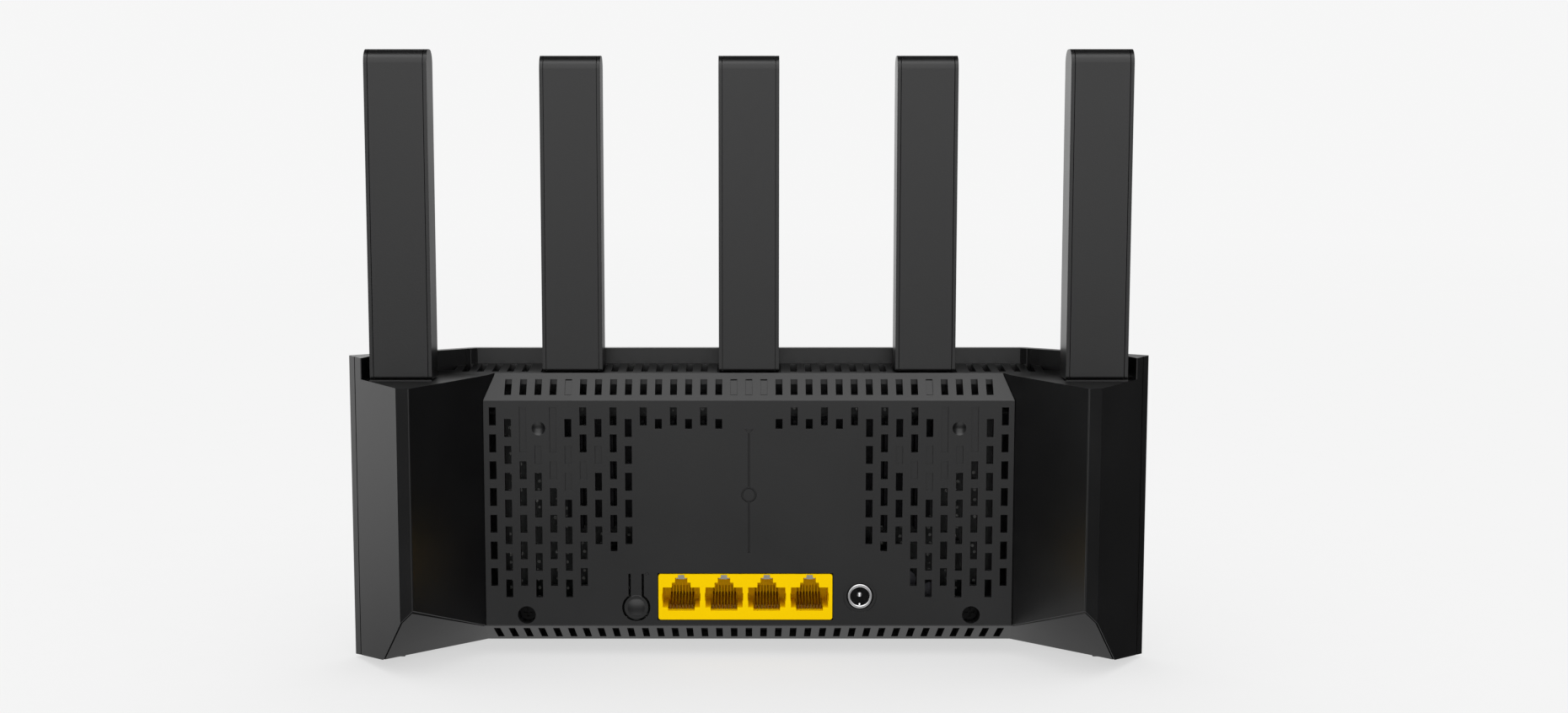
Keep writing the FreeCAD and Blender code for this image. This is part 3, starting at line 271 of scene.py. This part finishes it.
# ---- Edge rounding --------------------------------------------------------------------
def round_edges(node, width, segments=2, join_flats=True):
    """Rounds a CAD node's sharp edges by modifiers, which leave its mesh as it is.

    A node with a thin U-shaped flat face keeps its triangles (join_flats=False), because
    such a face tears when it is joined into one polygon.
    """
    weld = node.modifiers.new("weld", "WELD")
    weld.merge_threshold = SAME_POINT
    if join_flats:
        flat = node.modifiers.new("flat", "DECIMATE")
        flat.decimate_type = "DISSOLVE"
        flat.angle_limit = math.radians(FLAT_ANGLE)
    bevel = node.modifiers.new("edges", "BEVEL")
    bevel.width = width
    bevel.segments = segments
    bevel.limit_method = "ANGLE"
    bevel.angle_limit = math.radians(SHARP_ANGLE)
    bevel.use_clamp_overlap = True
    node.modifiers.new("normals", "WEIGHTED_NORMAL").keep_sharp = False
    for face in node.data.polygons:
        face.use_smooth = True


def finish_nodes(materials):
    """Gives every CAD node its material, and rounds the edges of most that show."""
    slots = {row["node"]: row["material_slot"] for row in frame["record"]["subparts"]}
    for name, node in NODES.items():
        antenna_skin = name.endswith(("_shell", "_cover")) and name.startswith("antenna_")
        material = materials["antenna" if antenna_skin else slots[name]]
        node.data.materials.clear()
        node.data.materials.append(material)
        if antenna_skin:
            round_edges(node, ANTENNA_ROUND, 3)
    for name in ("right_wing_cover", "left_wing_cover"):
        round_edges(NODES[name], SHELL_ROUND)
    round_edges(NODES["front_panel"], SHELL_ROUND, join_flats=False)
    for name in ("rear_cover", "top_grille", "reset_button"):
        round_edges(NODES[name], VENT_ROUND)
    round_edges(NODES["rj45_housing"], SOCKET_ROUND)


# ---- Studio ---------------------------------------------------------------------------
def make_floor():
    """Pale floor that fades into the backdrop towards its edge."""
    mesh = bpy.data.meshes.new("floor")
    angles = [math.tau * i / FLOOR_SIDES for i in range(FLOOR_SIDES)]
    rim = [(FLOOR_R * math.cos(a), FLOOR_R * math.sin(a), 0.0) for a in angles]
    mesh.from_pydata(rim, [], [list(range(FLOOR_SIDES))])
    floor = bpy.data.objects.new("floor", mesh)
    bpy.context.scene.collection.objects.link(floor)
    tone = (FLOOR_TONE,) * 3
    s = Shader("floor", tone, 1.0, Specular_IOR_Level=0.0)
    grain = s.spread(s.noise(s.place(), 60.0, 5.0), 0.0, 1.0)
    s.join(s.mix_color(grain, tone, (FLOOR_TONE * 1.01,) * 3), s.surface.inputs["Base Color"])
    s.set("Emission Color", (1.0, 1.0, 1.0, 1.0))
    s.set("Emission Strength", FLOOR_GLOW)
    distance = s.node("VectorMath", operation="LENGTH")
    s.join(s.place(), distance.inputs[0])
    fade = s.spread(distance.outputs["Value"], 1.0, 0.0, FLOOR_SOLID_R, FLOOR_R * 0.8)
    s.join(fade, s.surface.inputs["Alpha"])
    mesh.materials.append(s.material)
    floor.visible_glossy = False


def mirrored_light(sky):
    """How bright the studio looks in the router's faces, by direction."""
    direction = sky.node("SeparateXYZ")
    sky.join(sky.node("TexCoord").outputs["Generated"], direction.inputs["Vector"])
    x, y, z = (direction.outputs[axis] for axis in "XYZ")
    aside = sky.math("ABSOLUTE", x)
    near = sky.math("MULTIPLY", sky.curve(z, NEAR_GLOW, GLOW_TOP),
                    sky.curve(aside, NEAR_DIM, GLOW_TOP))
    far = sky.math("MULTIPLY", sky.curve(z, FAR_GLOW, GLOW_TOP), sky.curve(x, FAR_DIM, GLOW_TOP))
    far = sky.math("MAXIMUM", far, sky.curve(z, LOW_GLOW, GLOW_TOP))
    share = sky.spread(y, 0.0, 1.0, -NEAR_FAR_BLEND, NEAR_FAR_BLEND)
    both = sky.math("ADD", sky.math("MULTIPLY", near, share),
                    sky.math("MULTIPLY", far, sky.math("SUBTRACT", 1.0, share)))
    return sky.math("ADD", both, sky.curve(x, SIDE_GLOW, GLOW_TOP))


def make_sky():
    """World light: even to the camera and on matt surfaces, graded where it is mirrored."""
    world = bpy.data.worlds.new("studio")
    world.use_nodes = True
    # Sampled as a lamp, the sky would light glossy faces evenly and lose its grading.
    world.cycles.sampling_method = "NONE"
    sky = Nodes(world.node_tree)
    path = sky.node("LightPath")
    even = sky.spread(path.outputs["Is Camera Ray"], SKY_LIGHT, SKY_SEEN, 0.0, 1.0)
    glossy = path.outputs["Is Glossy Ray"]
    level = sky.math("ADD", sky.math("MULTIPLY", mirrored_light(sky), glossy),
                     sky.math("MULTIPLY", even, sky.math("SUBTRACT", 1.0, glossy)))
    background = sky.tree.nodes["Background"]
    background.inputs["Color"].default_value = (1.0, 1.0, 1.0, 1.0)
    sky.join(level, background.inputs["Strength"])
    bpy.context.scene.world = world


def softbox(name, place, target, size, power):
    """A rectangular light that points at a target and shows in no reflection."""
    light = bpy.data.lights.new(name, "AREA")
    light.shape = "RECTANGLE"
    light.size, light.size_y = size
    light.energy = power
    lamp = bpy.data.objects.new(name, light)
    bpy.context.scene.collection.objects.link(lamp)
    lamp.location = place
    direction = Vector(target) - Vector(place)
    lamp.rotation_euler = direction.to_track_quat("-Z", "Y").to_euler()
    lamp.visible_glossy = False


def make_lights():
    softbox("top_light", TOP_LIGHT_PLACE, TOP_LIGHT_TARGET, TOP_LIGHT_SIZE, TOP_LIGHT_POWER)


def make_camera():
    data = bpy.data.cameras.new("camera")
    data.lens = LENS
    data.sensor_width = SENSOR
    data.shift_x = SHIFT
    data.clip_start = 0.01
    camera = bpy.data.objects.new("camera", data)
    bpy.context.scene.collection.objects.link(camera)
    camera.location = CAMERA_PLACE
    camera.rotation_euler = (math.radians(90.0 - CAMERA_TILT), 0.0, math.pi)
    bpy.context.scene.camera = camera


bpy.context.scene.view_settings.view_transform = "Standard"
make_camera()
make_sky()
make_floor()
make_lights()
finish_nodes(make_materials())
